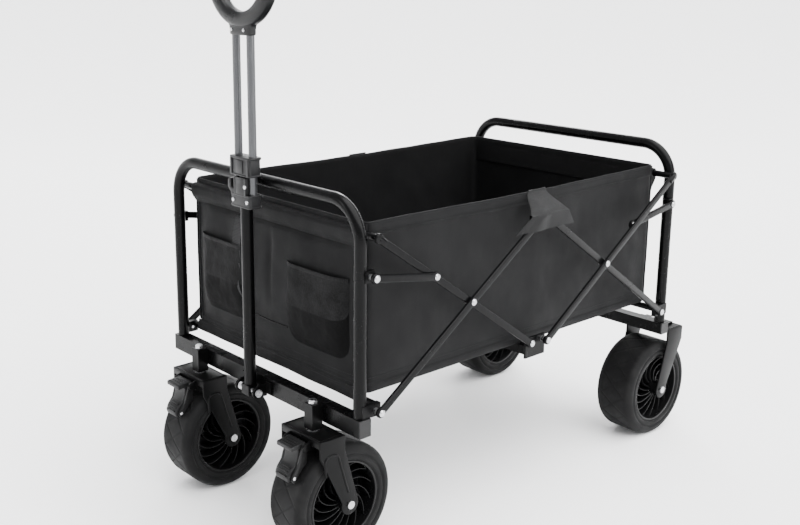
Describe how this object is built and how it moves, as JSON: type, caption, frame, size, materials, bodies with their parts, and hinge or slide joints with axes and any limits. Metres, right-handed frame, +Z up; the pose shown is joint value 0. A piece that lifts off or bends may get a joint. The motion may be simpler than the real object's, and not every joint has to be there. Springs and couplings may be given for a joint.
{
  "type": "folding beach cart",
  "caption": "Folding beach cart: fabric basket in a scissor frame, swivel front casters, wide wheels and a telescopic pull handle with a ring grip.",
  "frame": {"origin": "on the ground, under the middle of the open cart", "axes": "+X towards the rear, -X towards the pull handle, +Y to the cart's left as seen from behind the handle looking to the rear, +Z up"},
  "size_m": [0.9736, 0.546, 0.996],
  "materials": {
    "frame_steel": "black powder coat, satin",
    "fork_steel": "black powder coat, satin, rubbed edges",
    "arm_steel": "black powder coat, satin gloss",
    "mast_steel": "black coat, satin gloss",
    "rod_aluminium": "dark anodised, drawn",
    "black_plastic": "moulded black plastic",
    "brake_plastic": "moulded black plastic",
    "grip_plastic": "black moulded grip, satin",
    "zinc_hardware": "zinc plated",
    "tyre_rubber": "black foam rubber, satin",
    "rim_plastic": "black moulded, satin gloss",
    "basket_fabric": "black coated polyester, fine plain weave",
    "pocket_mesh": "black knitted mesh",
    "floor_fabric": "black coated polyester over a padded board"
  },
  "bodies": {
    "front_frame": {"front_frame_tube": "frame_steel", "front_cross_beam": "frame_steel", "front_end_caps": "black_plastic", "front_bottom_rail": "frame_steel", "front_pivot_brackets": "fork_steel", "front_pivot_bolts": "zinc_hardware", "swivel_housings": "fork_steel", "handle_bracket": "fork_steel", "handle_hinge_pin": "zinc_hardware"},
    "handle": {"mast_tube": "mast_steel", "mast_collar": "black_plastic", "hinge_spring": "zinc_hardware"},
    "collar_button": {"collar_button": "black_plastic"},
    "grip": {"handle_rods": "rod_aluminium", "rod_carriage": "black_plastic", "grip_ring": "grip_plastic", "handle_screws": "zinc_hardware"},
    "left_caster": {"left_fork": "fork_steel", "left_kingpin": "zinc_hardware", "left_axle": "zinc_hardware"},
    "right_caster": {"right_fork": "fork_steel", "right_kingpin": "zinc_hardware", "right_axle": "zinc_hardware"},
    "left_brake_lever": {"left_brake_lever": "brake_plastic"},
    "right_brake_lever": {"right_brake_lever": "brake_plastic"},
    "front_left_wheel": {"front_left_tyre": "tyre_rubber", "front_left_rim": "rim_plastic"},
    "front_right_wheel": {"front_right_tyre": "tyre_rubber", "front_right_rim": "rim_plastic"},
    "rear_left_wheel": {"rear_left_tyre": "tyre_rubber", "rear_left_rim": "rim_plastic"},
    "rear_right_wheel": {"rear_right_tyre": "tyre_rubber", "rear_right_rim": "rim_plastic"},
    "rear_frame": {"rear_frame_tube": "frame_steel", "rear_cross_beam": "frame_steel", "rear_end_caps": "black_plastic", "rear_bottom_rail": "frame_steel", "rear_pivot_brackets": "fork_steel", "rear_pivot_bolts": "zinc_hardware", "rear_left_fork": "fork_steel", "rear_right_fork": "fork_steel", "rear_fork_bolts": "zinc_hardware", "rear_axles": "zinc_hardware"},
    "low_arms_front": {"front_low_arms": "arm_steel", "front_arm_rivets": "zinc_hardware"},
    "high_arms_front": {"front_high_arms": "arm_steel", "front_top_tube": "arm_steel"},
    "high_arms_rear": {"rear_high_arms": "arm_steel", "rear_top_tube": "arm_steel", "rear_arm_rivets": "zinc_hardware"},
    "low_arms_rear": {"rear_low_arms": "arm_steel"},
    "centre_tube": {"centre_cross_tube": "frame_steel", "centre_bolts": "zinc_hardware"},
    "top_link": {"top_links": "fork_steel"},
    "struts_front": {"front_struts": "arm_steel"},
    "struts_rear": {"rear_struts": "arm_steel"},
    "basket": {"front_panel": "basket_fabric", "pockets": "pocket_mesh", "basket_walls": "basket_fabric", "basket_floor": "floor_fabric"}
  },
  "joints": [
    {"name": "fold", "type": "hinge", "parent": "front_frame", "child": "low_arms_front", "pos_m": [-0.3782, 0, 0.267], "axis": [0, -1, 0], "range_deg": [0, 45.5], "deforming": ["basket_walls", "basket_floor"]},
    {"name": "front_crossing", "type": "hinge", "parent": "low_arms_front", "child": "high_arms_front", "pos_m": [-0.18371, 0, 0.40067], "axis": [0, -1, 0], "range_deg": [-91.01, 0]},
    {"name": "basket_hang", "type": "hinge", "parent": "high_arms_front", "child": "basket", "pos_m": [-0.3782, 0, 0.53434], "axis": [0, -1, 0], "range_deg": [0, 45.51]},
    {"name": "centre_front_pivot", "type": "hinge", "parent": "high_arms_front", "child": "centre_tube", "pos_m": [-0.02712, 0, 0.29306], "axis": [0, -1, 0], "range_deg": [0, 45.51]},
    {"name": "centre_rear_pivot", "type": "hinge", "parent": "centre_tube", "child": "high_arms_rear", "pos_m": [0.00672, 0, 0.29306], "axis": [0, -1, 0], "range_deg": [0, 45.51]},
    {"name": "rear_crossing", "type": "hinge", "parent": "high_arms_rear", "child": "low_arms_rear", "pos_m": [0.16331, 0, 0.40067], "axis": [0, -1, 0], "range_deg": [-91.01, 0]},
    {"name": "rear_low_pivot", "type": "hinge", "parent": "low_arms_rear", "child": "rear_frame", "pos_m": [0.3578, 0, 0.267], "axis": [0, -1, 0], "range_deg": [0, 45.51]},
    {"name": "top_link_pivot", "type": "hinge", "parent": "low_arms_front", "child": "top_link", "pos_m": [-0.02712, 0, 0.50829], "axis": [0, -1, 0], "range_deg": [-45.51, 0]},
    {"name": "front_strut_pivot", "type": "hinge", "parent": "front_frame", "child": "struts_front", "pos_m": [-0.3902, 0, 0.478], "axis": [0, -1, 0], "range_deg": [0, 82.94]},
    {"name": "rear_strut_pivot", "type": "hinge", "parent": "rear_frame", "child": "struts_rear", "pos_m": [0.3698, 0, 0.478], "axis": [0, -1, 0], "range_deg": [-82.94, 0]},
    {"name": "left_swivel", "type": "hinge", "parent": "front_frame", "child": "left_caster", "pos_m": [-0.4222, 0.16, 0.217], "axis": [0, 0, 1], "continuous": true},
    {"name": "front_left_spin", "type": "hinge", "parent": "left_caster", "child": "front_left_wheel", "pos_m": [-0.3872, 0.16, 0.096], "axis": [0, 1, 0], "continuous": true},
    {"name": "left_brake", "type": "hinge", "parent": "left_caster", "child": "left_brake_lever", "pos_m": [-0.4552, 0.16, 0.204], "axis": [0, -1, 0], "range_deg": [0, 4]},
    {"name": "rear_left_spin", "type": "hinge", "parent": "rear_frame", "child": "rear_left_wheel", "pos_m": [0.3908, 0.205, 0.096], "axis": [0, 1, 0], "continuous": true},
    {"name": "right_swivel", "type": "hinge", "parent": "front_frame", "child": "right_caster", "pos_m": [-0.4222, -0.16, 0.217], "axis": [0, 0, 1], "continuous": true},
    {"name": "front_right_spin", "type": "hinge", "parent": "right_caster", "child": "front_right_wheel", "pos_m": [-0.3872, -0.16, 0.096], "axis": [0, 1, 0], "continuous": true},
    {"name": "right_brake", "type": "hinge", "parent": "right_caster", "child": "right_brake_lever", "pos_m": [-0.4552, -0.16, 0.204], "axis": [0, -1, 0], "range_deg": [0, 4]},
    {"name": "rear_right_spin", "type": "hinge", "parent": "rear_frame", "child": "rear_right_wheel", "pos_m": [0.3908, -0.205, 0.096], "axis": [0, 1, 0], "continuous": true},
    {"name": "handle_tilt", "type": "hinge", "parent": "front_frame", "child": "handle", "pos_m": [-0.4302, 0, 0.236], "axis": [0, -1, 0], "range_deg": [0, 100], "stiffness_Nm_per_rad": 1.2},
    {"name": "handle_slide", "type": "slide", "parent": "handle", "child": "grip", "axis": [0, 0, -1], "range_m": [0, 0.18]},
    {"name": "collar_press", "type": "slide", "parent": "handle", "child": "collar_button", "axis": [0, -1, 0], "range_m": [0, 0.003], "stiffness_N_per_m": 300}
  ],
  "couplings": [
    {"joint": "front_crossing", "follows": "fold", "ratio": -2},
    {"joint": "basket_hang", "follows": "fold", "ratio": 1},
    {"joint": "centre_front_pivot", "follows": "fold", "ratio": 1},
    {"joint": "centre_rear_pivot", "follows": "fold", "ratio": 1},
    {"joint": "rear_crossing", "follows": "fold", "ratio": -2},
    {"joint": "rear_low_pivot", "follows": "fold", "ratio": 1},
    {"joint": "top_link_pivot", "follows": "fold", "ratio": -1},
    {"joint": "front_strut_pivot", "follows": "fold", "ratio": 1.8225},
    {"joint": "rear_strut_pivot", "follows": "fold", "ratio": -1.8225}
  ]
}
